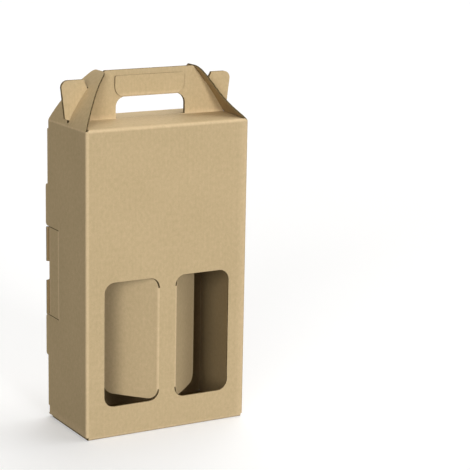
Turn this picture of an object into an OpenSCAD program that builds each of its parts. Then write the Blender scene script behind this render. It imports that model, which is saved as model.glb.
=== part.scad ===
// Two-bottle wine carrier, folded from one sheet of fine corrugated board.
// X runs along the front, Y from front to back, Z up.  The origin is the middle of the base.

/* [Board] */
// Thickness of the corrugated board
board_t = 1.6; // [1.2:0.1:2.2]
// Inside radius of a folded edge
fold_r = 0.8; // [0.4:0.1:1.4]
// Air left between two layers of board that lie on each other
layer_gap = 0.2; // [0.1:0.05:0.4]
// Clearance between a moving flap and the board it was cut from
cut_gap = 0.35; // [0.3:0.05:0.6]

/* [Body] */
// Outside width of the body, two bottles side by side
body_w = 180; // [166:1:210]
// Outside depth of the body, one bottle
body_d = 90; // [82:1:106]
// Height of the body from the table to its top edge
body_h = 312; // [290:1:350]
// How far the two top panels rise from the body's edge to the handle
top_rise = 2.2; // [0.5:0.1:4]
// Length of the base panel's tuck flap, up inside the back wall
tuck_len = 20; // [10:1:40]
// Length of each side wall's flap, on top of the base panel
dust_len = 40; // [20:1:60]

/* [Windows] */
// Width of a window, from the middle strip to the outer jamb
window_w = 61.5; // [45:0.5:66]
// Height of a window
window_h = 127.5; // [90:0.5:160]
// Height of the window sill above the table
window_sill = 32; // [20:1:60]
// Corner radius of a window and of the flap cut from it
window_r = 11; // [4:0.5:16]
// Width of the strip of front wall between the two windows
strip_w = 17.5; // [12:0.5:26]
// How far the left window flap is folded in, in degrees from the front wall
left_open = 50; // [10:1:85]
// How far the right window flap is folded in, in degrees from the front wall
right_open = 44; // [10:1:85]

/* [Handle] */
// Height of the handle's top edge above the body
handle_h = 50.5; // [44:0.5:52]
// Width of the hand hole
hole_w = 77.8; // [66:0.2:88]
// Height of the hand hole above the fold at its foot
hole_h = 21.5; // [16:0.5:25]
// Radius of the hand hole's upper corners
hole_r = 10; // [4:0.5:14]
// Length of the grip flap, from its fold to its free edge
grip_len = 20.6; // [14:0.2:22]
// Radius of the grip flap's free corners and of the handle's top corners
grip_r = 2; // [1:0.5:4]

/* [Gables] */
// Angle by which a gable flap is folded in from its side wall, at the fold
gable_fold = 27; // [20:1:32]
// Radius of the gentle outward bow of a gable flap
gable_bow = 205; // [170:5:260]
// Length of a gable flap from its fold to its top edge
gable_len = 64.5; // [62:0.5:68]
// Width of a gable flap at its top, between the centres of its round corners
gable_top_w = 19; // [12:0.5:26]
// Radius of a gable flap's top corners
gable_r = 8; // [4:0.5:10]
// Height of the slit's upper end above the body's top edge
slit_h = 34.4; // [28:0.2:36]
// Radius of the round relief at the foot of the slit
slit_foot_r = 2.6; // [2.2:0.1:3.2]
// How far an ear of the handle reaches past its side wall
ear_out = 4; // [2:0.5:8]
// Height of an ear's top edge above the body's top edge
ear_h = 43; // [41:0.5:46]
// Radius of an ear's outer corner
ear_r = 7; // [3:0.5:10]
// Width of the mouth beside an ear, where the gable flap is hooked in
ear_mouth = 12.5; // [8:0.5:16]

/* [Closing seam] */
// Distance from the back wall to the crease that the tongue bends on
tongue_w = 26.5; // [20:0.5:34]
// Height of the tongue's lower end
tongue_low = 109; // [90:1:120]
// Height of the tongue's upper end
tongue_high = 202; // [190:1:220]
// Length of the tongue's tip behind the back wall
tongue_tip = 24; // [12:1:40]
// Width of the slits at both ends of the tongue
tongue_slit = 0.8; // [0.5:0.1:1.5]
// How far the back wall's lip stands past the side wall beside the tongue
lip_out = 1.8; // [1:0.1:3]
// Radius of the thumb notch in the lip
notch_r = 10; // [7:0.5:12]
// Height of the two tabs that stand past the back wall, above and below the tongue
tab_h = 44; // [30:1:56]
// How far a tab stands past the back wall
tab_out = 4.5; // [2.5:0.5:7]
// Corner radius of a tab
tab_r = 3.5; // [1:0.5:5]
// Width of the back wall's flap inside the left wall
seam_flap = 30; // [20:1:40]
// Height of the small open reliefs at the top and foot of the seam
relief_h = 8; // [4:0.5:12]
// Depth of those reliefs
relief_d = 2.6; // [1:0.1:3]
// Depth of a pressed crease line
crease_depth = 0.35; // [0.1:0.05:0.6]

/* [Hidden] */
$fn = 64;
kraft = [0.77, 0.68, 0.52];
fold_out = fold_r + board_t;
half_w = body_w / 2;
half_d = body_d / 2;
wall_top = body_h - fold_out;
cut_over = 1;
wall_lap = 1;

// Base: the side walls' flaps lie on the base panel
dust_z = board_t + layer_gap;
side_foot = dust_z + fold_out;
inner_back = half_d - board_t - layer_gap;

// Heights from here to the gables are counted from the body's top edge.
// Top panels: each one slopes up from the wall's top fold to the handle's fold
top_half = half_w - fold_out - board_t - 2 * layer_gap;
top_edge_y = -half_d + fold_out;
leg_y = -(layer_gap / 2 + board_t + fold_r);
handle_foot = top_rise + fold_r;

// Hand hole: the neck of the grip flap passes under the front panel's cut edge
hole_top = top_rise + hole_h;
grip_y = -(layer_gap / 2 + board_t + cut_gap + board_t / 2);
grip_z = hole_top + board_t / 2;
grip_half = hole_w / 2 - cut_gap;
hinge_gap = board_t / 2 + cut_gap;
neck_half = hole_w / 2 - hole_r;

// Rounds a point to the thousandth of a millimetre
function snap(point) = [for (v = point) round(1000 * v) / 1000];

// Gables: the small fold and the long bow share one tangent
gable_bend = [half_w - fold_out, -fold_out];
gable_dir = [cos(gable_fold), sin(gable_fold)];
gable_c = snap(gable_bend - (gable_bow - fold_out) * gable_dir);
gable_end = gable_fold + gable_len / gable_bow * 180 / PI;
gable_top_z = gable_c[1] + gable_bow * sin(gable_end);
gable_base = half_d - fold_out - layer_gap;
slit_w = 2 * board_t + layer_gap + 2 * cut_gap;
notch_foot = slit_h - cut_gap;
slit_x = gable_c[0] + sqrt(pow(gable_bow + cut_gap, 2) - pow(notch_foot - gable_c[1], 2));
ear_x = half_w + ear_out;
ear_mouth_x = gable_c[0] + sqrt(pow(gable_bow, 2) - pow(ear_h - gable_c[1], 2)) + ear_mouth;

// Windows and their flaps
hinge_x = strip_w / 2 + hinge_gap;
hinge_y = -half_d + board_t / 2;
flap_w = window_w - 2 * cut_gap;
flap_h = window_h - 2 * cut_gap;
flap_r = window_r - cut_gap;
window_mid = window_sill + window_h / 2;

// Seam
notch_z = (tongue_low + tongue_high) / 2;
crease_y = half_d - tongue_w;
inner_side = -half_w + board_t + layer_gap;

// The ring that a strip of board follows round a fold
module fold_ring()
    difference() {
        circle(r = fold_out);
        circle(r = fold_r);
    }

// A square fold between two upright walls, one quarter of the ring
module bend(quarter) {
    reach = 2 * fold_out;
    rotate(90 * quarter)
        intersection() {
            fold_ring();
            square([reach, reach]);
        }
}

// A rectangle from corner to corner
module box2(x0, y0, x1, y1)
    polygon([[x0, y0], [x1, y0], [x1, y1], [x0, y1]]);

// A rectangle with round corners, drawn about its own middle
module rounded(w, h, r) {
    square([w - 2 * r, h], center = true);
    square([w, h - 2 * r], center = true);
    for (sx = [-1, 1], sy = [-1, 1])
        translate([sx * (w / 2 - r), sy * (h / 2 - r)])
            circle(r = r);
}

// Carries a drawing in X and Z into the upright plane, from one Y to another
module upright_xz(y0, y1)
    translate([0, y1, 0])
        rotate([90, 0, 0])
            linear_extrude(height = y1 - y0)
                children();

// Carries a drawing in Y and Z into the upright plane, from one X to another
module upright_yz(x0, x1)
    translate([x0, 0, 0])
        rotate([90, 0, 90])
            linear_extrude(height = x1 - x0)
                children();

// Front wall with its two windows
module front_wall()
    upright_xz(-half_d, -half_d + board_t)
        difference() {
            box2(-half_w + fold_out, fold_out, half_w - fold_out, wall_top);
            for (side = [-1, 1])
                translate([side * (strip_w + window_w) / 2, window_mid])
                    rounded(window_w, window_h, window_r);
        }

// Upright folds at the three plain corners
module corners()
    translate([0, 0, side_foot])
        linear_extrude(height = wall_top - side_foot) {
            translate([-half_w + fold_out, -half_d + fold_out])
                bend(2);
            translate([half_w - fold_out, -half_d + fold_out])
                bend(3);
            translate([half_w - fold_out, half_d - fold_out])
                bend(0);
        }

// Right wall
module right_wall()
    upright_yz(half_w - board_t, half_w)
        box2(-half_d + fold_out, side_foot, half_d - fold_out, wall_top);

// Tab on the left wall's raw edge, standing past the back wall
module tab(low)
    translate([half_d + tab_out / 2 - tab_r, low + tab_h / 2])
        rounded(tab_out + 2 * tab_r, tab_h, tab_r);

// Left wall: raw back edge, two tabs, and the opening that the tongue leaves
module left_wall()
    difference() {
        upright_yz(-half_w, -half_w + board_t)
            difference() {
                union() {
                    box2(-half_d + fold_out, side_foot, half_d, wall_top);
                    tab(tongue_high - tongue_slit);
                    tab(tongue_low + tongue_slit - tab_h);
                }
                box2(crease_y, tongue_low, half_d + tab_out, tongue_high);
                box2(half_d - relief_d, wall_top - relief_h, half_d + cut_over, wall_top);
                box2(half_d - relief_d, side_foot, half_d + cut_over, side_foot + relief_h);
            }
        translate([-half_w - fold_r + crease_depth, crease_y - fold_r, tongue_low])
            cylinder(h = tongue_high - tongue_low, r = fold_r);
    }

// Tongue: bends on its crease, turns the corner and lies behind the back wall
module tongue()
    translate([0, 0, tongue_low + tongue_slit])
        linear_extrude(height = tongue_high - tongue_low - 2 * tongue_slit) {
            box2(-half_w, crease_y, -half_w + board_t, inner_back - fold_out);
            translate([-half_w + fold_out, inner_back - fold_out])
                bend(1);
            box2(-half_w + fold_out, inner_back - board_t, -half_w + fold_out + tongue_tip, inner_back);
        }

// Back wall: folds into the seam flap, or runs out as a lip beside the tongue
module back_wall() {
    upright_xz(half_d - board_t, half_d)
        difference() {
            union() {
                box2(inner_side + fold_out, 0, half_w - fold_out, wall_top);
                box2(-half_w - lip_out, tongue_low + tongue_slit, 0, tongue_high - tongue_slit);
            }
            translate([-half_w - lip_out, notch_z])
                circle(r = notch_r);
        }
    for (span = [[side_foot, tongue_low], [tongue_high, wall_top - relief_h / 2]])
        translate([0, 0, span[0]])
            linear_extrude(height = span[1] - span[0]) {
                translate([inner_side + fold_out, half_d - fold_out])
                    bend(1);
                box2(inner_side, half_d - seam_flap, inner_side + board_t, half_d - fold_out);
            }
}

// Base panel, folded from the front wall, with its tuck flap inside the back wall
module base() {
    upright_yz(-half_w + fold_out, half_w - fold_out) {
        translate([-half_d + fold_out, fold_out])
            bend(2);
        box2(-half_d + fold_out, 0, inner_back - fold_out, board_t);
    }
    upright_yz(-half_w + 2 * fold_out, half_w - 2 * fold_out) {
        translate([inner_back - fold_out, fold_out])
            bend(3);
        box2(inner_back - board_t, fold_out, inner_back, fold_out + tuck_len);
    }
}

// Flap folded in from the foot of one side wall
module dust_flap()
    upright_xz(-half_d + fold_out, inner_back - fold_out) {
        translate([-half_w + fold_out, side_foot])
            bend(2);
        box2(-half_w + fold_out, dust_z, -half_w + fold_out + dust_len, dust_z + board_t);
    }

// Front top panel: the wall's top fold, the sloping panel and the fold of the handle's legs.
// Its fold and the gables' folds run down a little way within the walls that they continue.
module top_panel() {
    upright_yz(-half_w + fold_out, half_w - fold_out) {
        translate([top_edge_y, -fold_out])
            bend(1);
        box2(-half_d, -fold_out - wall_lap, -half_d + board_t, -fold_out);
    }
    upright_yz(-top_half, top_half)
        polygon([[top_edge_y, 0], [leg_y, top_rise], [leg_y, top_rise - board_t], [top_edge_y, -board_t]]);
    for (side = [-1, 1])
        upright_yz(side > 0 ? hole_w / 2 : -top_half, side > 0 ? top_half : -hole_w / 2)
            translate([leg_y, handle_foot])
                bend(3);
}

// Right half of a handle panel's outline, with the ear that passes through the gable's slit
module handle_half() {
    intersection() {
        box2(0, handle_foot, half_w, handle_h);
        translate(gable_c)
            circle(r = gable_bow - board_t - cut_gap, $fn = 360);
    }
    box2(0, handle_foot, top_half, notch_foot);
    difference() {
        union() {
            polygon([[slit_x, notch_foot], [slit_x, handle_foot], [top_half, handle_foot],
                     [half_w + layer_gap, handle_foot + fold_out], [ear_x, ear_h - ear_r],
                     [ear_x - ear_r, ear_h], [ear_mouth_x, ear_h]]);
            translate([ear_x - ear_r, ear_h - ear_r])
                circle(r = ear_r);
        }
        intersection() {
            translate(gable_c)
                circle(r = gable_bow + cut_gap, $fn = 360);
            box2(0, notch_foot, ear_x, handle_h);
        }
    }
}

// Handle panel standing on the front top panel, with the hand hole down to its foot
module handle_panel(hole_edge)
    upright_xz(-layer_gap / 2 - board_t, -layer_gap / 2)
        difference() {
            union() {
                handle_half();
                mirror([1, 0])
                    handle_half();
            }
            translate([0, hole_top - hole_h])
                rounded(hole_w, 2 * hole_h, hole_r);
            box2(-neck_half, hole_top - hole_r, neck_half, hole_edge);
        }

// Neck that carries the grip flap from the back handle panel under the front one
module grip_neck()
    upright_yz(-neck_half, neck_half) {
        translate([layer_gap / 2 - fold_r, hole_top + fold_out])
            bend(3);
        box2(-layer_gap / 2 - board_t, hole_top, layer_gap / 2 - fold_r, hole_top + board_t);
    }

// Section of the right gable flap: a small fold, then a long gentle bow
module gable_section() {
    reach = 2 * fold_out;
    box2(half_w - board_t, -fold_out - wall_lap, half_w, -fold_out);
    joint = gable_bend + fold_out * gable_dir;
    joint_in = gable_bend + fold_r * gable_dir;
    intersection() {
        translate(gable_bend)
            fold_ring();
        polygon([gable_bend, gable_bend + [reach, 0], gable_bend + [reach, reach], joint + [0, reach],
                 joint, joint_in]);
    }
    intersection() {
        translate(gable_c)
            difference() {
                circle(r = gable_bow, $fn = 360);
                circle(r = gable_bow - board_t, $fn = 360);
            }
        polygon([gable_c, joint_in, joint, joint + half_d * gable_dir,
                 gable_c + (gable_bow + half_d) * [cos(gable_end), sin(gable_end)]]);
    }
}

// Outline of a gable flap seen from the side: sides that touch the round top corners
module gable_outline() {
    shoulder = [gable_top_w / 2, gable_top_z + cut_over - gable_r];
    reach = norm(shoulder - [gable_base, 0]);
    lean = atan2(shoulder[1], gable_base - shoulder[0]) + asin(gable_r / reach);
    side_end = shoulder + gable_r * [sin(lean), cos(lean)];
    box2(-gable_base, -fold_out - wall_lap, gable_base, 0);
    polygon([[-gable_base, 0], [gable_base, 0], side_end, shoulder + [0, gable_r],
             [-shoulder[0], shoulder[1] + gable_r], [-side_end[0], side_end[1]]]);
    for (side = [-1, 1])
        translate([side * shoulder[0], shoulder[1]])
            circle(r = gable_r);
}

// Right gable flap: folded in from its wall, bowed, slit for the handle's ear
module gable_flap()
    difference() {
        intersection() {
            upright_xz(-half_d, half_d)
                gable_section();
            upright_yz(0, body_w)
                gable_outline();
        }
        upright_yz(0, body_w) {
            box2(-slit_w / 2, handle_foot - cut_gap, slit_w / 2, slit_h);
            translate([0, handle_foot])
                circle(r = slit_foot_r);
        }
    }

// Top of the carrier, above the walls
module top() {
    for (side = [0, 1])
        mirror([0, side, 0]) {
            top_panel();
            handle_panel(hole_top + fold_out + (1 - side) * layer_gap);
        }
    for (side = [0, 1])
        mirror([side, 0, 0])
            gable_flap();
    grip_neck();
}

// The folded sheet: walls, base, top, handle, gables and closing seam
module carton()
    color(kraft) {
        front_wall();
        corners();
        right_wall();
        left_wall();
        tongue();
        back_wall();
        base();
        for (side = [0, 1])
            mirror([side, 0, 0])
                dust_flap();
        translate([0, 0, body_h])
            top();
    }

// Window flap in the front wall's plane, hinged at the origin and reaching to +X.
// Its corners beside the hinge stand one board's thickness off, so that they clear the wall as it turns.
module window_flap() {
    straight = flap_h - 2 * flap_r;
    upright_xz(-board_t / 2, board_t / 2)
        translate([0, window_mid]) {
            translate([flap_w / 2, 0])
                rounded(flap_w - board_t, flap_h, flap_r);
            box2(0, -straight / 2, flap_r, straight / 2);
        }
    translate([0, 0, window_mid - straight / 2])
        cylinder(h = straight, r = board_t / 2);
}

// Left window flap, folded in on the middle strip
module left_window_flap()
    color(kraft)
        translate([-hinge_x, hinge_y, 0])
            rotate([0, 0, -left_open])
                mirror([1, 0, 0])
                    window_flap();

// Right window flap, folded in on the middle strip
module right_window_flap()
    color(kraft)
        translate([hinge_x, hinge_y, 0])
            rotate([0, 0, right_open])
                window_flap();

// Grip flap, folded up against the front of the handle; its fold is its hinge
module grip_flap()
    color(kraft)
        translate([0, grip_y, body_h + grip_z]) {
            upright_xz(-board_t / 2, board_t / 2)
                difference() {
                    union() {
                        box2(-grip_half, hole_r - board_t / 2, grip_half, grip_len - grip_r);
                        box2(-grip_half + grip_r, hole_r, grip_half - grip_r, grip_len);
                        box2(-neck_half, -board_t / 2, neck_half, grip_len - grip_r);
                        for (side = [-1, 1]) {
                            translate([side * (grip_half - hole_r), hole_r - board_t / 2])
                                circle(r = hole_r);
                            translate([side * (grip_half - grip_r), grip_len - grip_r])
                                circle(r = grip_r);
                        }
                    }
                    box2(-hole_w / 2, -board_t, hole_w / 2, 0);
                }
            rotate([0, 90, 0])
                cylinder(h = 2 * neck_half, r = board_t / 2, center = true);
        }

carton();
left_window_flap();
right_window_flap();
grip_flap();
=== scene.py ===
import math

import bpy
import numpy as np
from mathutils import Matrix, Vector
from mathutils.geometry import delaunay_2d_cdt


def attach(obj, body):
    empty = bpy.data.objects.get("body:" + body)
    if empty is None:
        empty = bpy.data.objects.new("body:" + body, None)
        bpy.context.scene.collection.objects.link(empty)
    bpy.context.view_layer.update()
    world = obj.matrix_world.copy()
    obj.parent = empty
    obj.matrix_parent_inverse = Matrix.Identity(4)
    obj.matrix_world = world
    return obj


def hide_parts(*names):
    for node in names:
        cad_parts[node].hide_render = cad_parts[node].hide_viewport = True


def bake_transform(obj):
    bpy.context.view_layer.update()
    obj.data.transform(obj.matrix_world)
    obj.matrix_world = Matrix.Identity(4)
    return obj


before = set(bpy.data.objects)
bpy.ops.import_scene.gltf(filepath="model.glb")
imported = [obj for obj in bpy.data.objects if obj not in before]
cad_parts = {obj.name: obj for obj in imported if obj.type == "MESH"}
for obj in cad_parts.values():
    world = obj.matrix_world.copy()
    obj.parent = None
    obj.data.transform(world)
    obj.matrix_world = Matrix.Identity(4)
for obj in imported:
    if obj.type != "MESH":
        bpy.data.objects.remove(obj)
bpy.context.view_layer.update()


# Walls: four tall walls of fine kraft corrugated board, creased square to each other.  They and
# all that the next sections add are one die-cut blank, drawn flat here and folded afterwards:
# u runs round the walls and v up them, in millimetres of flat board.
board_t = 1.6
layer_gap = 0.2
cut_gap = 0.35
fold_r = 0.8
body_w = 180.0
body_d = 90.0
body_h = 312.0
relief_h = 8.0
relief_d = 2.6
lap = 0.1

# Each bend takes mid_r times its angle of the flat board.  side_foot is where the side walls end,
# one layer above the base panel, and the names in _u and _end are where each wall starts and ends.
half_t = board_t / 2
layer = board_t + layer_gap
mid_r = fold_r + half_t
fold_out = fold_r + board_t
square = math.pi / 2
square_fold = mid_r * square
wall_top = body_h - fold_out
side_foot = fold_out + layer
corner_foot = side_foot - 1
corner_top = wall_top + 0.9
half_w = body_w / 2 - fold_out
half_d = body_d / 2 - fold_out
left_end = body_d - fold_out
front_u = left_end + square_fold
front_end = front_u + 2 * half_w
right_u = front_end + square_fold
right_end = right_u + 2 * half_d
back_u = right_end + square_fold
seam_u = back_u + 2 * half_w - layer
front_x = front_u + half_w
back_x = back_u + half_w


def rounded(u0, v0, u1, v1, radii=0.0, arc_steps=8):
    """Outline of a rectangle, each corner a quarter circle: centre + r (cos a, sin a)."""
    corners = np.array([[u0, v0], [u1, v0], [u1, v1], [u0, v1]], float)
    inward = np.array([[1, 1], [-1, 1], [-1, -1], [1, -1]], float)
    r = np.broadcast_to(np.asarray(radii, float), 4)[:, None]
    a = np.radians([180, 270, 0, 90])[:, None] + np.linspace(0, square, arc_steps + 1)
    ring = (corners + inward * r)[:, None] + r[:, None] * np.stack([np.cos(a), np.sin(a)], -1)
    ring = ring.reshape(-1, 2)
    return ring[np.linalg.norm(ring - np.roll(ring, 1, 0), axis=1) > 1e-6]


adds = [rounded(0, side_foot, left_end + lap, wall_top),
        rounded(left_end - lap, corner_foot, front_u + lap, corner_top),
        rounded(front_u, fold_out - lap, front_end, wall_top),
        rounded(front_end - lap, corner_foot, right_u, corner_top),
        rounded(right_u - lap, side_foot, right_end, wall_top),
        rounded(right_end - lap, corner_foot, back_u + lap, corner_top),
        rounded(back_u, 0, seam_u, wall_top)]
cuts = [rounded(-5, wall_top - relief_h, relief_d, wall_top + 1),
        rounded(-5, side_foot - 0.2, relief_d, side_foot + relief_h)]


# Base: the front wall's foot folds back as the base panel, and its end tucks up inside the back
# wall.  A flap from the foot of each side wall is folded in over it, so the board holds itself.
tuck_len = 20.0
tuck_r = 6.0
dust_len = 40.0
dust_r = 4.0
dust_root = 6.0
root_gap = 0.3

base_fold = fold_out - square_fold
base_len = 2 * half_d - layer
base_end = base_fold - base_len
tuck_fold = base_end - square_fold
side_fold = side_foot - square_fold

adds += [rounded(front_u, base_end, front_end, fold_out),
         rounded(front_u + fold_out, tuck_fold - tuck_len, front_end - fold_out, -base_len,
                 (tuck_r, tuck_r, 0, 0)),
         rounded(side_foot, side_fold - dust_len, left_end, side_foot + lap, (dust_r, dust_r, 0, 0)),
         rounded(root_gap, root_gap, dust_root, side_foot + lap),
         rounded(right_u, side_fold - dust_len, right_end - layer, side_foot + lap,
                 (dust_r, dust_r, 0, 0)),
         rounded(right_end - dust_root, root_gap, right_end, side_foot + lap)]


# Closing seam: two flaps off the back wall lie inside the left wall, and two tabs on the left
# wall stand past the corner.  Between them the left wall's slit tongue turns in behind the back
# wall's lip, which has a half-round notch for the thumb.
tongue_w = 26.5
tongue_low = 109.0
tongue_high = 202.0
tongue_tip = 24.0
tongue_slit = 0.8
tongue_r = 3.0
lip_out = 1.8
notch_r = 10.0
tab_h = 44.0
tab_out = 4.5
tab_r = 3.5
tab_root = 8.0
seam_flap = 30.0
seam_r = 4.0

tongue_end = side_fold - tongue_tip
slit_low = tongue_low + tongue_slit
slit_high = tongue_high - tongue_slit
lip_end = seam_u + fold_out + layer + lip_out
flap_end = seam_u + square_fold + seam_flap - fold_out


def disc(u, v, radius, count):
    """Outline of a circle: centre + radius (cos a, sin a), count points round it."""
    a = np.linspace(0, 2 * math.pi, count + 1)[:-1]
    return np.stack([u + radius * np.cos(a), v + radius * np.sin(a)], 1)


adds += [rounded(tongue_end, slit_low, tongue_w + 1, slit_high, (tongue_r, 0, 0, tongue_r)),
         rounded(-tab_out, slit_low - tab_h, tab_root, tongue_low, (tab_r, 0, 0, tab_r)),
         rounded(-tab_out, tongue_high, tab_root, slit_high + tab_h, (tab_r, 0, 0, tab_r)),
         rounded(seam_u - lap, slit_low, lip_end, slit_high),
         rounded(seam_u - lap, side_foot, flap_end, tongue_low, (0, seam_r, 0, 0)),
         rounded(seam_u - lap, tongue_high, flap_end, wall_top - seam_r, (0, 0, seam_r, 0))]
cuts += [rounded(-30, tongue_low, tongue_w, slit_low),
         rounded(-30, slit_high, tongue_w, tongue_high),
         disc(lip_end, (tongue_low + tongue_high) / 2, notch_r, 48)]


# Windows: one round-cornered opening in the front wall for each bottle, cut through the board
# on three sides only, with a plain strip left standing between them.
window_w = 61.5
window_h = 127.5
window_sill = 32.0
window_r = 11.0
strip_w = 17.5

window_top = window_sill + window_h
for side in (-1, 1):
    near = front_x + side * strip_w / 2
    far = near + side * window_w
    cuts.append(rounded(min(near, far), window_sill, max(near, far), window_top, window_r, 10))


# Gable flaps: the side walls' heads, bowed in over the top.  Each is slit up its middle for the
# ears of both handle panels and is held only by them, so the left one bows more than the right.
gable_left = {"turn": math.radians(24.0), "radius": 150.0, "hollow": 0.5, "twist": 0.7, "ear": 95.8}
gable_right = {"turn": math.radians(30.0), "radius": 320.0, "hollow": 4.0, "twist": 2.2, "ear": 92.6}
gable_len = 64.3
gable_foot = np.array([42.4, body_h + 0.2])
# The two top corners: how far each one's centre is across from the middle, and its radius.
gable_corners = ((-1.5, 11.0), (11.0, 8.0))
slit_half = layer / 2 + half_t + cut_gap
slit_foot = 315.0
slit_foot_r = 2.6
slit_top = 346.05
slit_end_r = 1.2


def gable_circle(gable):
    """Circle of the bowed flap's outside in x and z: it leaves the side wall's fold at its turn."""
    run = gable["radius"] - fold_out
    return half_w - run * math.cos(gable["turn"]), wall_top - run * math.sin(gable["turn"]), gable["radius"]


def gable_v(z, gable):
    """Height on the blank of a point of the flap at height z: the fold's length plus radius times
    the angle gone round since the fold."""
    cx, cz, radius = gable_circle(gable)
    mid = radius - half_t
    return wall_top + mid_r * gable["turn"] + mid * (np.arcsin((z - cz) / mid) - gable["turn"])


def gable_outline(gable):
    """Flat flap, across and up: both sides leave the foot and touch a round top corner, hollowed
    between by 4 h t (1 - t)."""
    top = wall_top + mid_r * gable["turn"] + gable_len
    radii = np.array([radius for at, radius in gable_corners])
    centres = np.array([[at, top - radius] for at, radius in gable_corners])
    foot = np.array([[-1, 1], [1, 1]]) * gable_foot
    reach = foot - centres
    lean = np.arctan2(reach[:, 1], reach[:, 0])
    open_by = np.arccos(radii / np.linalg.norm(reach, axis=1))
    left = np.linspace(lean[0] - open_by[0], -1.5 * math.pi, 13)
    right = np.linspace(square, lean[1] + open_by[1], 13)
    arcs = [c + r * np.stack([np.cos(a), np.sin(a)], 1) for c, r, a in zip(centres, radii, (left, right))]
    t = np.linspace(0, 1, 9)[:-1, None]
    bend = np.array([4 * gable["hollow"], 0.0]) * t * (1 - t)
    front = foot[0] + (arcs[0][0] - foot[0]) * t + bend
    rear = (foot[1] + (arcs[1][-1] - foot[1]) * t - 0.6 * bend)[::-1]
    root = [[gable_foot[0], wall_top - 0.5], [-gable_foot[0], wall_top - 0.5]]
    return np.concatenate([front, arcs[0], arcs[1], rear, root])


left_middle = body_d / 2
right_middle = right_u + half_d
for middle, flip, gable in ((left_middle, -1, gable_left), (right_middle, 1, gable_right)):
    outline = gable_outline(gable)
    adds.append(np.stack([middle + flip * outline[:, 0], outline[:, 1]], 1))
    low = gable_v(slit_foot - cut_gap, gable)
    high = gable_v(slit_top + cut_gap, gable)
    cuts.append(rounded(middle - slit_half, low, middle + slit_half, high, (0, 0, slit_end_r, slit_end_r)))
    cuts.append(disc(middle, gable_v(slit_foot, gable), slit_foot_r, 24))


# Top and handle: a nearly level panel off the head of the front wall and of the back wall, then
# a handle panel standing against the other one.  Each has the hand hole and two ears, which are
# pushed through the gable flaps' slits and hook over them.
top_rise = 2.2
top_inset = 2.0
handle_h = 50.5
hole_w = 77.8
hole_r = 10.0
hole_top = 335.7
hole_low = 2.35
hole_shift = 2.0
# Heights to which the hole is cut up at its neck, in the front panel and in the back one.
neck_top = (338.3, 338.1)
ear_top = 355.0
ear_r = 7.0
ear_foot = 317.4
ear_taper = 3.8
ear_mouth = 12.5

panel_y = layer / 2
slope = math.atan2(top_rise, half_d - panel_y - mid_r)
top_turn = square - slope
top_fold = mid_r * top_turn
top_run = body_d / 2 - half_t - panel_y - 2 * mid_r * (1 - math.cos(top_turn))
top_end = wall_top + top_fold
leg_v = top_end + top_run / math.cos(slope)
handle_v = leg_v + top_fold
handle_z = wall_top + 2 * mid_r * math.sin(top_turn) + top_run * math.tan(slope)
handle_top = body_h + handle_h
half_top = half_w - top_inset
half_hole = hole_w / 2
half_neck = half_hole - hole_r


def lift(z):
    """Height on the blank of a point at height z on a handle panel, which stands straight up."""
    return z - handle_z + handle_v


def handle_half(gable):
    """Half of a handle panel in x and z: foot, ear with its round corner r (cos a, sin a), the
    mouth that hooks over the gable flap, and the edge that follows the flap's circle inside it."""
    cx, cz, radius = gable_circle(gable)
    z = np.linspace(slit_top, handle_top, 8)
    inner = np.stack([cx + np.sqrt((radius - board_t - cut_gap) ** 2 - (z - cz) ** 2), z], 1)
    slit = cx + math.sqrt((radius + cut_gap) ** 2 - (slit_top - cz) ** 2)
    mouth = cx + math.sqrt(radius ** 2 - (ear_top - cz) ** 2) + ear_mouth
    a = np.linspace(0, square, 9)
    corner = np.array([gable["ear"] - ear_r, ear_top - ear_r])
    ear = corner + ear_r * np.stack([np.cos(a), np.sin(a)], 1)
    foot = handle_z - 0.02
    start = [[-0.5, foot], [half_top, foot], [gable["ear"] - ear_taper, ear_foot]]
    hook = [[mouth, ear_top], [slit, slit_top]]
    return np.concatenate([start, ear, hook, inner, [[-0.5, handle_top]]])


for middle, flip, neck in ((front_x, 1, neck_top[0]), (back_x, -1, neck_top[1])):
    hole_x = middle + hole_shift * flip
    adds += [rounded(middle - half_w, wall_top - lap, middle + half_w, top_end),
             rounded(middle - half_top, wall_top, middle + half_top, leg_v),
             rounded(hole_x - half_hole, leg_v - lap, hole_x + half_hole, leg_v + hole_low),
             rounded(middle - half_top, leg_v - lap, hole_x - half_hole, handle_v + lap),
             rounded(hole_x + half_hole, leg_v - lap, middle + half_top, handle_v + lap)]
    for gable, side in ((gable_right, 1), (gable_left, -1)):
        half = handle_half(gable)
        adds.append(np.stack([middle + flip * side * half[:, 0], lift(half[:, 1])], 1))
    cuts += [rounded(hole_x - half_hole, leg_v + hole_low, hole_x + half_hole, lift(hole_top),
                     (0, 0, hole_r, hole_r)),
             rounded(middle - half_neck, lift(hole_top - hole_r), middle + half_neck, lift(neck))]


# Folding the carton: the blank is cut, creased and folded without glue, so its walls swell a
# little and each bend is a plain round one.  The mesh keeps both liners, and at every cut edge
# the fluted core shows set back between them.
crease_fade = 0.8
liner_edge = 0.58
core_edge = 0.5
core_back = 0.45
smooth_up_to = math.radians(40)


def inside(points, loop):
    """Even-odd rule: a point is inside where a ray along +u crosses the loop an odd number of times."""
    a, b = loop, np.roll(loop, -1, 0)
    v = points[:, 1, None]
    rise = np.where(a[:, 1] == b[:, 1], 1.0, b[:, 1] - a[:, 1])
    at = a[:, 0] + (v - a[:, 1]) / rise * (b[:, 0] - a[:, 0])
    crossed = ((a[:, 1] > v) != (b[:, 1] > v)) & (points[:, 0, None] < at)
    return crossed.sum(1) % 2 == 1


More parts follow.
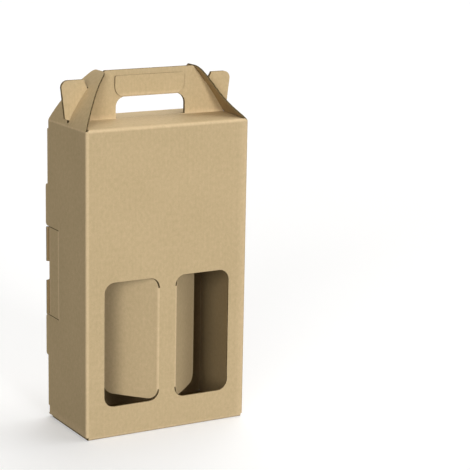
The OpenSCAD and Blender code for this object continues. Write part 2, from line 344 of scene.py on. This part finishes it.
def blank(adds, cuts, us, vs):
    """Flat board as triangles: inside any outline of adds and none of cuts, ruled at u = us and v = vs."""
    low = np.min([p.min(0) for p in adds], 0) - 1
    high = np.max([p.max(0) for p in adds], 0) + 1
    us = np.asarray(us)[(us > low[0]) & (us < high[0])]
    vs = np.asarray(vs)[(vs > low[1]) & (vs < high[1])]
    ups = np.stack([np.stack([us, us * 0 + low[1]], 1), np.stack([us, us * 0 + high[1]], 1)], 1)
    overs = np.stack([np.stack([vs * 0 + low[0], vs], 1), np.stack([vs * 0 + high[0], vs], 1)], 1)
    points, edges, count = [], [], 0
    for loop in adds + cuts:
        ring = count + np.arange(len(loop))
        points.append(loop)
        edges.append(np.stack([ring, np.roll(ring, -1)], 1))
        count += len(loop)
    for lines in (ups, overs):
        points.append(lines.reshape(-1, 2))
        edges.append(count + np.arange(2 * len(lines)).reshape(-1, 2))
        count += 2 * len(lines)
    points, edges = np.concatenate(points), np.concatenate(edges)
    found = delaunay_2d_cdt(points.tolist(), edges.tolist(), [], 0, 1e-5, False)
    flat = np.array([tuple(p) for p in found[0]])
    tris = np.array(found[2])
    middle = flat[tris].mean(1)
    keep = np.any([inside(middle, p) for p in adds], 0)
    for cut in cuts:
        keep &= ~inside(middle, cut)
    a, b, c = (flat[tris[:, k]] for k in range(3))
    area = (b[:, 0] - a[:, 0]) * (c[:, 1] - a[:, 1]) - (b[:, 1] - a[:, 1]) * (c[:, 0] - a[:, 0])
    tris = np.where((area > 0)[:, None], tris, tris[:, ::-1])[keep & (np.abs(area) > 1e-9)]
    used, tris = np.unique(tris, return_inverse=True)
    return flat[used], tris.reshape(-1, 3)


def carried(s, bends, heading=0.0, origin=0.0):
    """Strip with bends (a, l, turn): heading h(s) = heading + sum of turn * clip((s - a) / l, 0, 1),
    point = integral of (cos h, sin h) from origin to s.  Gives the point, h and the share of crease,
    which is 1 on a sharp bend and fades over 0.8 mm beside it."""
    t = np.linspace(min(s.min(), origin) - 1, max(s.max(), origin) + 1, 60001)
    h = heading + sum(turn * np.clip((t - a) / l, 0, 1) for a, l, turn in bends)
    across = np.concatenate([[0], np.cumsum((np.cos(h[1:]) + np.cos(h[:-1])) / 2 * np.diff(t))])
    along = np.concatenate([[0], np.cumsum((np.sin(h[1:]) + np.sin(h[:-1])) / 2 * np.diff(t))])
    sharp = [(a + l / 2, l / 2) for a, l, turn in bends if l < 5]
    folds = [1 - np.clip(np.abs(s - at) - half, 0, crease_fade) / crease_fade for at, half in sharp]
    px = np.interp(s, t, across) - np.interp(origin, t, across)
    py = np.interp(s, t, along) - np.interp(origin, t, along)
    return px, py, np.interp(s, t, h), np.max(folds + [0 * s], 0)


def steps(*spans):
    """Ruling lines: n equal steps over each span (a, b, n)."""
    return np.unique(np.round(np.concatenate([np.linspace(a, b, n + 1) for a, b, n in spans]), 5))


def board(name, sheet, place, materials, uv_origin=(0.0, 0.0), joined=None):
    """Corrugated board: place(u, v) carries the blank's points to a middle surface p with normal n.
    The liners lie at p + 0.8 n and p - 0.8 n.  A cut edge runs from one to the other through a core
    0.45 mm further in, but not where joined says that the board goes on in another piece."""
    flat, tris = sheet
    count = len(flat)
    mid, nor, fold = place(flat[:, 0], flat[:, 1])
    sides = tris[:, [0, 1, 1, 2, 2, 0]].reshape(-1, 2)
    key = np.sort(sides, 1) @ np.array([count, 1])
    single, where, times = np.unique(key, return_inverse=True, return_counts=True)
    rim = sides[times[where] == 1]
    along = flat[rim[:, 1]] - flat[rim[:, 0]]
    inward = np.stack([-along[:, 1], along[:, 0]], 1) / np.linalg.norm(along, axis=1)[:, None]
    push = np.zeros((count, 2))
    np.add.at(push, rim[:, 0], inward)
    np.add.at(push, rim[:, 1], inward)
    if joined is not None:
        rim = rim[~joined(flat[rim].mean(1))]
    ends, ring = np.unique(rim, return_inverse=True)
    ring = ring.reshape(-1, 2)
    push = push[ends] / np.maximum(np.linalg.norm(push[ends], axis=1), 0.4)[:, None]
    profile = [(liner_edge, 0.0), (core_edge, core_back), (-core_edge, core_back), (-liner_edge, 0.0)]
    points = [mid + half_t * nor, mid - half_t * nor]
    rim_v = [np.full(count, half_t), np.full(count, -half_t)]
    for height, inset in profile:
        q = flat[ends] + inset * push
        m, n, f = place(q[:, 0], q[:, 1])
        points.append(m + height * n)
        rim_v.append(np.full(len(ends), height))
    levels = [rim] + [2 * count + k * len(ends) + ring for k in range(4)] + [rim + count]
    bands = [np.stack([a[:, 1], a[:, 0], b[:, 0], b[:, 1]], 1) for a, b in zip(levels[:-1], levels[1:])]
    faces = tris.tolist() + (tris[:, ::-1] + count).tolist() + np.concatenate(bands).tolist()
    mesh = bpy.data.meshes.new(name)
    mesh.from_pydata((np.concatenate(points) * 0.001).tolist(), [], faces)
    sort = np.repeat([0, 1, 2], [len(tris), len(tris), 5 * len(rim)]).astype(np.int32)
    mesh.polygons.foreach_set("material_index", sort)
    for material in materials:
        mesh.materials.append(material)
    corner = np.empty(len(mesh.loops), np.int32)
    mesh.loops.foreach_get("vertex_index", corner)
    cut = np.repeat(sort, np.where(sort < 2, 3, 4)) == 2
    u = np.concatenate([flat[:, 0], flat[:, 0]] + [flat[ends, 0]] * 4) + uv_origin[0]
    v = np.concatenate([flat[:, 1], flat[:, 1]] + [flat[ends, 1]] * 4) + uv_origin[1]
    uv = np.stack([u[corner], np.where(cut, np.concatenate(rim_v)[corner], v[corner])], 1) * 0.001
    mesh.uv_layers.new(name="sheet").data.foreach_set("uv", uv.ravel())
    # Crease share per point; the liners turn it into paler creases, partly fibres paled by folding and
    # partly a painted highlight.
    fold_paling_and_highlight = np.concatenate([fold, fold] + [fold[ends]] * 4)
    crease = mesh.attributes.new("crease", "FLOAT", "POINT")
    crease.data.foreach_set("value", fold_paling_and_highlight.astype(np.float32))
    mesh.shade_smooth()
    mesh.set_sharp_from_angle(angle=smooth_up_to)
    mesh.validate()
    made = bpy.data.objects.new(name, mesh)
    bpy.context.scene.collection.objects.link(made)
    return made


def node(tree, kind, links=(), **values):
    """Adds a shader node, sets its properties, then its sockets by number or name from links."""
    made = tree.nodes.new(kind)
    for key, value in values.items():
        setattr(made, key, value)
    for socket, value in links:
        if isinstance(value, bpy.types.NodeSocket):
            tree.links.new(value, made.inputs[socket])
        else:
            made.inputs[socket].default_value = value
    return made


def math_node(tree, operation, a, b=0.0, c=0.0):
    """Output of a Math node on a, b and c."""
    return node(tree, "ShaderNodeMath", [(0, a), (1, b), (2, c)], operation=operation).outputs[0]


def sheet_noise(tree, place, scale, detail, stretch=(1.0, 1.0, 1.0)):
    """Noise over the blank in metres: each axis of the place times its stretch, then the scale."""
    mapped = node(tree, "ShaderNodeMapping", [("Vector", place), ("Scale", stretch)])
    links = [("Vector", mapped.outputs[0]), ("Scale", scale), ("Detail", detail)]
    return node(tree, "ShaderNodeTexNoise", links).outputs[0]


def matt_skin(name, roughness, specular):
    """New matt material; gives it with its node tree, its shader and the place on the flat blank."""
    material = bpy.data.materials.new(name)
    material.use_nodes = True
    tree = material.node_tree
    skin = tree.nodes["Principled BSDF"]
    skin.inputs["Roughness"].default_value = roughness
    skin.inputs["Specular IOR Level"].default_value = specular
    return material, tree, skin, node(tree, "ShaderNodeUVMap", uv_map="sheet").outputs[0]


def kraft(name, colour, washboard_shade):
    """Unprinted liner: colour times a tone of fibres, flecks, clouds and stripes, with the flutes
    showing through as a faint painted shade of their ridges, and each crease paler, partly as fibres
    paled by the fold and partly as a painted highlight; blue follows as tone ** 1.25."""
    material, tree, skin, place = matt_skin(name, 0.82, 0.08)
    fibre = sheet_noise(tree, place, 330, 4, (1.0, 0.7, 1.0))
    fleck = sheet_noise(tree, place, 1100, 2, (1.0, 0.6, 1.0))
    cloud = sheet_noise(tree, place, 22, 3)
    stripe = sheet_noise(tree, place, 300, 1, (1.0, 0.01, 1.0))
    # The flute wave gives the bump, and also a faint stripe in the colour that is painted shade of the
    # flutes' ridges.
    flute = node(tree, "ShaderNodeTexWave", [("Vector", place), ("Scale", 98.0), ("Distortion", 0.0)],
                 bands_direction="X").outputs[1]
    crease = node(tree, "ShaderNodeAttribute", attribute_name="crease").outputs[2]
    tone = 0.67
    # The crease term is partly fibres paled by folding and partly a painted highlight along each fold.
    for part, amount in ((fibre, 0.26), (fleck, 0.18), (cloud, 0.10), (stripe, 0.03),
                         (flute, washboard_shade), (crease, 0.16)):
        tone = math_node(tree, "MULTIPLY_ADD", part, amount, tone)
    blue = math_node(tree, "POWER", tone, 1.25)
    shade = node(tree, "ShaderNodeCombineColor", [(0, tone), (1, tone), (2, blue)]).outputs[0]
    base = node(tree, "ShaderNodeMix", [(0, 1.0), (6, colour), (7, shade)],
                data_type="RGBA", blend_type="MULTIPLY").outputs[2]
    rise = math_node(tree, "MULTIPLY_ADD", flute, 0.5, fibre)
    bump = node(tree, "ShaderNodeBump", [("Strength", 0.30), ("Distance", 0.00006), ("Height", rise)])
    tree.links.new(base, skin.inputs["Base Color"])
    tree.links.new(bump.outputs[0], skin.inputs["Normal"])
    return material


def cut_edge(name, paper, shade):
    """Cut edge: paper near either liner and near the core's wave, whose height is 0.45 mm times
    sin(2 pi u / 3.2 mm), and painted shade in the hollows between them."""
    material, tree, skin, place = matt_skin(name, 0.9, 0.15)
    split = node(tree, "ShaderNodeSeparateXYZ", [(0, place)])
    wave = math_node(tree, "SINE", math_node(tree, "MULTIPLY", split.outputs[0], 2 * math.pi / 0.0032))
    gap = math_node(tree, "ABSOLUTE", math_node(tree, "MULTIPLY_ADD", wave, -0.00045, split.outputs[1]))
    liner = math_node(tree, "SUBTRACT", 0.00072, math_node(tree, "ABSOLUTE", split.outputs[1]))
    near = math_node(tree, "MINIMUM", gap, liner)
    near = math_node(tree, "MULTIPLY_ADD", sheet_noise(tree, place, 1500, 2), 0.0002, near)
    # hollow is 0 on paper and 1 in the flutes' hollows, which get the painted shade colour.
    hollow = node(tree, "ShaderNodeMapRange", [(0, near), (1, 0.00016), (2, 0.00034)]).outputs[0]
    base = node(tree, "ShaderNodeMix", [(0, hollow), (6, paper), (7, shade)], data_type="RGBA").outputs[2]
    tree.links.new(base, skin.inputs["Base Color"])
    return material


outer_kraft = (0.585, 0.447, 0.258, 1.0)
inner_kraft = (0.345, 0.250, 0.130, 1.0)
# The core paper is darker than the liners, partly as the fluting's own colour and partly as painted shade,
# so that cut edges read dark; core_shade is the painted shade of the flutes' hollows.
core_kraft = (0.26, 0.19, 0.092, 1.0)
core_shade = (0.060, 0.042, 0.018, 1.0)
# The last number is the strength of the painted shade of the flutes' ridges.
outer_liner = kraft("kraft_outer", outer_kraft, 0.012)
inner_liner = kraft("kraft_inner", inner_kraft, 0.02)
board_edge = cut_edge("board_cut_edge", core_kraft, core_shade)
board_materials = [outer_liner, inner_liner, board_edge]

wall_swell = ((0, left_end, 4, 0.5), (front_u, front_end, window_top + 5.5, 0.5),
              (right_u, right_end, 4, 0.6), (back_u, seam_u, 4, 0.8))
swell_top = 309.0
groove_w = 1.3
groove_d = 0.2
twist_foot = 311.0
twist_h = 56.0
twist_half = 22.0
# Above handle_from the handle panels run straight on past the walls' ends, to the tips of the
# ears, and the gable flaps are narrower than the side walls.
handle_from = wall_top + 20
ear_room = 10.0
gable_room = 8.0
profile_from = 200.0
wall_x = body_w / 2 - half_t
wall_y = body_d / 2 - half_t


def wall_bulge(u, v):
    """Slight outward swelling of the tall walls: size * (sin(pi s) sin(pi t)) ** 2 over each wall."""
    swell = np.zeros_like(u)
    for start, end, low, size in wall_swell:
        s = np.clip((u - start) / (end - start), 0, 1)
        t = np.clip((v - low) / (swell_top - low), 0, 1)
        swell += size * (np.sin(math.pi * s) * np.sin(math.pi * t)) ** 2
    return swell


def chosen(where, new, old):
    """The arrays of new where the test holds, and those of old elsewhere."""
    return tuple(np.where(where, a, b) for a, b in zip(new, old))


def round_the_walls(u, v):
    """Plan of the blank: x, y, heading and crease share along u, bent square at each corner.  The
    seam flaps turn in at the last corner, the lip goes straight on, the tongue turns in from its
    crease, and the handle panels stay straight past the corners.  Also gives each point's panel:
    0 left, 1 front, 2 right, 3 back."""
    corners = [(end, square_fold, square) for end in (left_end, front_end, right_end)]
    way = carried(u, corners + [(seam_u, square_fold, square)], -square)
    between = (v > tongue_low + tongue_slit / 2) & (v < tongue_high - tongue_slit / 2)
    way = chosen((u > seam_u) & between, carried(u, corners, -square), way)
    tx, ty, th, tf = carried(u, [(side_fold, square_fold, square)], -math.pi, origin=tongue_w)
    way = chosen((u < tongue_w + lap) & between, (tx, ty - tongue_w, th, tf), way)
    x, y, h, fold = way
    x = x - wall_x
    y = y + body_d / 2
    high = v > handle_from
    reach = np.where(high, ear_room, 1.0)
    front_reach = np.where(high, -gable_room, 1.0)
    panel = np.select([u < front_u - reach, u < right_u - front_reach, u < back_u - reach], [0, 1, 2], 3)
    for index, heading, across, depth in ((1, 0.0, u - front_x, -wall_y), (3, math.pi, back_x - u, wall_y)):
        straight = (across, depth + 0 * u, heading + 0 * u, 0 * u)
        x, y, h, fold = chosen((panel == index) & high, straight, (x, y, h, fold))
    return x, y, h, fold, panel


def fold_sheet(u, v):
    """Folds the blank: W(u) goes round the walls, and along v each wall's own profile (d, z) folds
    its foot and its head in: p = W(u) - d outward + z up.  The gable flaps twist by a sine."""
    u = np.asarray(u, float)
    v = np.asarray(v, float)
    x, y, h, fold, panel = round_the_walls(u, v)
    groove = np.exp(-((u - tongue_w) / groove_w) ** 2) * ((v > tongue_low) & (v < tongue_high))
    # The crease share rises to 1.6 along the tongue's groove: a painted highlight line there, paler than
    # the other creases.
    fold = np.maximum(fold, 1.6 * groove)
    out = np.stack([np.sin(h), -np.cos(h), 0 * h], 1)
    base = np.stack([x, y, 0 * h], 1)
    base += out * (wall_bulge(u, v) - groove_d * groove)[:, None]
    side = np.select([panel == 0, panel == 2], [left_middle - u, u - right_middle], 0.0)
    twist = np.where(panel == 0, gable_left["twist"], gable_right["twist"])
    twist = twist * np.clip(side / twist_half, -1.6, 1.0)
    twist *= np.sin(math.pi * np.clip((v - twist_foot) / twist_h, 0, 1)) ** 1.5
    tops = [(wall_top, top_fold, top_turn), (leg_v, top_fold, -top_turn)]
    hole = np.minimum(np.abs(u - front_x - hole_shift), np.abs(u - back_x + hole_shift)) < half_hole - 0.02
    flat = hole & (v > leg_v - 1) & (v < leg_v + hole_low + cut_gap)
    profiles = {}
    for index, gable in ((0, gable_left), (2, gable_right)):
        bow_len = gable_len + 6
        bow = (wall_top + mid_r * gable["turn"], bow_len, bow_len / (gable["radius"] - half_t))
        gable_fold = (wall_top, mid_r * gable["turn"], gable["turn"])
        profiles[index] = ([(side_fold, square_fold, square), gable_fold, bow], -square)
    profiles[1] = ([(tuck_fold, square_fold, square), (base_fold, square_fold, square)] + tops, -math.pi)
    profiles[3] = (tops, 0.0)
    drawn = tuple(np.zeros_like(u) for k in range(4))
    for index, (bends, heading) in profiles.items():
        way = carried(v, bends, heading, origin=profile_from)
        if index in (1, 3):
            way = chosen(flat, carried(v, bends[:-1], heading, origin=profile_from), way)
        drawn = chosen(panel == index, way, drawn)
    z, d, tilt, bend = drawn
    up = np.array([0.0, 0.0, 1.0])
    mid = base - out * d[:, None] + up * (z + profile_from)[:, None]
    nor = out * np.cos(tilt)[:, None] + up * np.sin(tilt)[:, None]
    return mid + nor * twist[:, None], nor, np.maximum(fold, bend)


def grip_seam(p):
    """Where the carton's board goes on as the grip flap: the top of the back panel's neck."""
    return (np.abs(p[:, 1] - lift(neck_top[1])) < 1e-3) & (np.abs(p[:, 0] - back_x) < half_neck)


us = steps((tongue_end, 0, 3), (0, left_end, 10), (root_gap, side_fold, 3), (side_fold, side_foot, 6),
           (tongue_w - 3, tongue_w + 3, 12), (left_end, front_u, 6), (front_u - 4, front_u + 3, 7),
           (front_u, front_end, 20), (front_end, right_u, 6), (right_u, right_end, 10),
           (right_end, back_u, 6), (back_u, seam_u, 20), (seam_u, seam_u + square_fold, 6),
           (lip_end, seam_u + seam_flap, 3))
vs = steps((tuck_fold - tuck_len, tuck_fold, 3), (tuck_fold, base_end, 6), (base_end, base_fold, 9),
           (base_fold, fold_out, 6), (side_fold, side_foot, 6), (side_foot, wall_top, 34),
           (wall_top - 1.5, wall_top, 2), (wall_top, top_end, 7), (top_end, leg_v, 12),
           (leg_v, handle_v, 7), (handle_v, lift(handle_top), 10))
carton = board("carton_sheet", blank(adds, cuts, us, vs), fold_sheet, board_materials, joined=grip_seam)
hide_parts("carton")
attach(carton, "carton")


# Window flaps: the board of each window, cut free on three sides and folded in on the middle
# strip's two creases to part the bottles.  The crease bends again and again, so its liner is
# shared by wall and flap.
flap_bend = 1.2
flap_hinge = 9.9
flap_bow = 0.7
shoulder_gap = 0.1
free_gap = 0.25
crease_half = 0.0009
root = strip_w / 2
flap_w = root + window_w - flap_hinge - free_gap
flap_r = window_r - cut_gap
flap_low = window_sill + cut_gap
flap_high = window_top - cut_gap
neck_low = window_sill + window_r
neck_high = window_top - window_r


def strip_seam(p):
    """Where the flap's board goes on as the middle strip."""
    return np.abs(np.abs(p[:, 0]) - root) < 1e-3


for name, side, turned in (("left_window_flap", -1, 50.0), ("right_window_flap", 1, 44.0)):
    turn = math.radians(turned)
    tangent = flap_bend * math.tan(turn / 2)
    bend_from = flap_hinge - tangent
    bend_len = flap_bend * turn
    bend_end = bend_from + bend_len
    plate = bend_end - tangent
    shape = [rounded(plate + shoulder_gap, flap_low, plate + flap_w, flap_high, flap_r, 10),
             rounded(root, neck_low, plate + window_r, neck_high)]
    shape = [np.stack([side * p[:, 0], p[:, 1]], 1) for p in shape]
    lines = steps((root, bend_from, 2), (bend_from, bend_end, 8), (bend_end, 14, 3), (14, 70, 12))
    rows = steps((flap_low, neck_low, 3), (neck_low, neck_high, 14), (neck_high, flap_high, 3))

    def fold_flap(u, v):
        """The flap leaves the strip along x and turns in round the crease, then goes on straight but
        for a bow of 0.7 mm times sin(pi t) ** 2."""
        s = side * np.asarray(u, float)
        px, py, h, fold = carried(s, [(bend_from, bend_len, turn)], 0.0, origin=root)
        t = np.clip((s - bend_end) / 60, 0, 1)
        bow = flap_bow * np.sin(math.pi * t) ** 2
        nor = np.stack([side * np.sin(h), -np.cos(h), 0 * h], 1)
        mid = np.stack([side * (root + px), -wall_y + py, v], 1) + nor * bow[:, None]
        return mid, nor, fold

    sheet = blank(shape, [], side * lines, rows)
    flap = board(name + "_board", sheet, fold_flap, board_materials, (front_x, 0.0), strip_seam)
    aim = np.array([side * (1 + math.cos(turn)), math.sin(turn), 0.0])
    aim *= crease_half / np.linalg.norm(aim)
    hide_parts(name)
    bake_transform(flap)


# Grip flap: the piece cut from the back handle panel's hand hole.  It stays joined at the hole's
# top, is folded forward through both holes and up over the front panel, and pads the grip.
grip_bend = 1.1
grip_len = 20.6
grip_r = 2.0
grip_shoulder = 9.2
grip_lean = 0.5
grip_depth = 2.15
grip_from = square_fold + grip_depth - grip_bend
grip_turn = grip_bend * square
grip_end = grip_from + grip_turn
grip_plate = grip_end - grip_bend
grip_half = half_hole - cut_gap
grip_shape = [rounded(-half_neck, 0, half_neck, grip_plate + 12),
              rounded(-grip_half, grip_plate, grip_half, grip_plate + grip_len,
                      (grip_shoulder, grip_shoulder, grip_r, grip_r))]


def fold_grip(u, v):
    """Down the back panel, forward under the front one, then up, leaning out by 0.5 mm times t ** 2."""
    u = np.asarray(u, float)
    v = np.asarray(v, float)
    bends = [(0.0, square_fold, -square), (grip_from, grip_turn, -square)]
    px, py, h, fold = carried(v, bends, -square)
    t = np.clip((v - grip_plate - grip_r) / (grip_len - grip_r), 0, 1)
    nor = np.stack([0 * h, -np.sin(h), np.cos(h)], 1)
    mid = np.stack([u, panel_y + px, neck_top[1] + py], 1)
    mid += nor * (grip_lean * t ** 2 * (1 + 0.4 * u / grip_half))[:, None]
    return mid, nor, fold


def grip_start(p):
    """Where the flap's board goes on as the back handle panel."""
    return p[:, 1] < 1e-3


grip_lines = steps((-grip_half, grip_half, 14))
grip_rows = steps((0, square_fold, 7), (square_fold, grip_from, 2), (grip_from, grip_end, 9),
                  (grip_end, grip_plate + grip_len, 7))
grip_sheet = blank(grip_shape, [], grip_lines, grip_rows)
grip = board("grip_flap_board", grip_sheet, fold_grip, board_materials, (700.0, 0.0), grip_start)
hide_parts("grip_flap")
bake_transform(grip)


# Photo's view: camera in front to the left and a little above, with a long lens, so the upright
# edges stay nearly parallel.
azimuth = math.radians(-27.757)
elevation = math.radians(12.839)
roll = math.radians(0.428)
distance = 1.7755
aimed_at = Vector((0, 0, 0.19))
level = math.cos(elevation)
back = Vector((math.sin(azimuth) * level, -math.cos(azimuth) * level, math.sin(elevation)))
across = Vector((0, 0, 1)).cross(back).normalized()
upward = back.cross(across)
right = across * math.cos(roll) + upward * math.sin(roll)
above = upward * math.cos(roll) - across * math.sin(roll)
camera_data = bpy.data.cameras.new("camera")
camera_data.lens = 134.1
camera_data.sensor_width = 36.0
camera_data.shift_x = 0.1871
camera_data.shift_y = 0.0049
camera_data.dof.use_dof = False
camera_data.clip_end = 20.0
camera = bpy.data.objects.new("camera", camera_data)
facing = Matrix((right, above, back)).transposed().to_4x4()
camera.matrix_world = Matrix.Translation(aimed_at + back * distance) @ facing
bpy.context.scene.collection.objects.link(camera)
bpy.context.scene.camera = camera


# Studio: four broad soft lamps, in front, to the left, overhead and a weaker one behind, in a
# dim warm room that the camera sees as white.
lamps = (("front_lamp", (0.0, -0.97, 0.24), 0.49, 16),
         ("left_lamp", (-0.66, -0.71, 0.24), 0.43, 24),
         ("top_lamp", (0.45, 0.06, 0.89), 0.56, 56),
         ("back_lamp", (0.50, 0.78, 0.36), 0.34, 40))
for name, towards, strength, spread in lamps:
    lamp_data = bpy.data.lights.new(name, "SUN")
    lamp_data.angle = math.radians(spread)
    lamp_data.energy = strength * math.pi
    lamp = bpy.data.objects.new(name, lamp_data)
    lamp.rotation_euler = Vector(towards).to_track_quat("Z", "Y").to_euler()
    bpy.context.scene.collection.objects.link(lamp)

white = (1.0, 1.0, 1.0, 1.0)
world = bpy.data.worlds.new("room")
world.use_nodes = True
bpy.context.scene.world = world
tree = world.node_tree
tree.nodes.clear()
rays = node(tree, "ShaderNodeLightPath").outputs
seen = math_node(tree, "MAXIMUM", rays["Is Camera Ray"], rays["Is Glossy Ray"])
seen = math_node(tree, "MAXIMUM", seen, rays["Is Transmission Ray"])
dim = node(tree, "ShaderNodeBackground", [(0, (1.0, 0.94, 0.84, 1.0)), (1, 0.14)])
pale = node(tree, "ShaderNodeBackground", [(0, white), (1, 1.0)])
both = node(tree, "ShaderNodeMixShader", [(0, seen), (1, dim.outputs[0]), (2, pale.outputs[0])])
node(tree, "ShaderNodeOutputWorld", [(0, both.outputs[0])])


# Floor: pale matt paper, which keeps the carton's shadow.  The camera sees it brighter than it
# lights the carton.
floor_half = 6.0
floor_grey = 0.18
floor_seen = 0.52
floor_glow = 0.34
floor_mesh = bpy.data.meshes.new("floor")
floor_corners = [(x * floor_half, y * floor_half, 0) for x, y in ((-1, -1), (1, -1), (1, 1), (-1, 1))]
floor_mesh.from_pydata(floor_corners, [], [(0, 1, 2, 3)])
floor_material = bpy.data.materials.new("floor_paper")
floor_material.use_nodes = True
tree = floor_material.node_tree
tree.nodes.clear()
by_camera = node(tree, "ShaderNodeLightPath").outputs["Is Camera Ray"]
shade = math_node(tree, "MULTIPLY_ADD", by_camera, floor_seen, floor_grey)
grey = node(tree, "ShaderNodeCombineColor", [(0, shade), (1, shade), (2, shade)])
matt = node(tree, "ShaderNodeBsdfDiffuse", [(0, grey.outputs[0])])
strength = math_node(tree, "MULTIPLY", by_camera, floor_glow)
glow = node(tree, "ShaderNodeEmission", [(0, white), (1, strength)])
total = node(tree, "ShaderNodeAddShader", [(0, matt.outputs[0]), (1, glow.outputs[0])])
node(tree, "ShaderNodeOutputMaterial", [(0, total.outputs[0])])
floor_mesh.materials.append(floor_material)
floor = bpy.data.objects.new("floor", floor_mesh)
bpy.context.scene.collection.objects.link(floor)
bpy.context.scene.view_settings.view_transform = "Standard"
